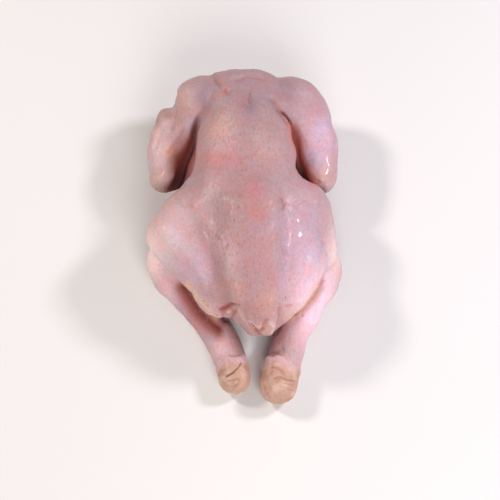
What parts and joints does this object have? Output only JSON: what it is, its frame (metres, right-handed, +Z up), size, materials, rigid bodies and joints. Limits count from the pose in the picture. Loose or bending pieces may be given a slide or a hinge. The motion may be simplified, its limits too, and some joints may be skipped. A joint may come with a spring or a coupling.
{
  "type": "whole raw chicken",
  "caption": "Whole plucked raw chicken lying breast down with folded wings, rounded thighs and trimmed drumsticks pointing back past the tail.",
  "frame": {"origin": "bottom centre of the bird's box, on the flat that the breast rests on", "axes": "+Y along the bird towards the neck, +X across it to the right wing as seen from above with the neck away, +Z up out of the back"},
  "size_m": [0.1722, 0.294, 0.1025],
  "materials": {
    "skin": "moist, thin pale pink skin over flesh, satin with wet highlights"
  },
  "bodies": {
    "root": {"chicken": "skin"}
  },
  "joints": []
}
